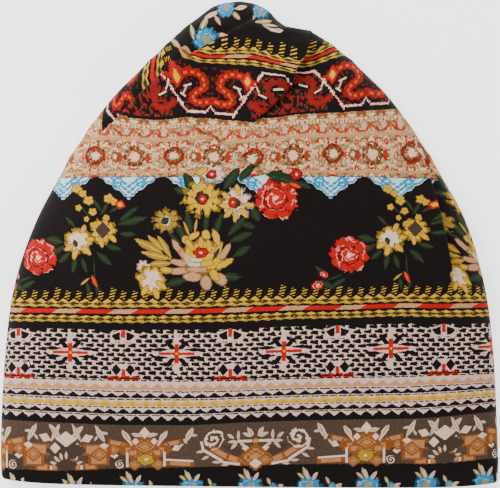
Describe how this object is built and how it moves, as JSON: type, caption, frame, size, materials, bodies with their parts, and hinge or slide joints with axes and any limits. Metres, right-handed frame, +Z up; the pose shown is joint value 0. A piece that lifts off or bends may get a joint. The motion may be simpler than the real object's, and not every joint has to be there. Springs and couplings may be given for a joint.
{
  "type": "slouchy beanie",
  "caption": "Slouchy jersey beanie lying flat on its back: a soft hollow tube with an open hem and a closed, folded crown, printed in folk bands and flowers.",
  "frame": {"origin": "under the middle of the lying hat, on the surface that it rests on", "axes": "+X to the right of the front, +Y from the open hem to the crown, +Z up through the front"},
  "size_m": [0.2598, 0.253, 0.0431],
  "materials": {
    "printed_jersey": "matt brushed jersey with a multicolour print"
  },
  "bodies": {
    "root": {"beanie_shell": "printed_jersey"}
  },
  "joints": []
}
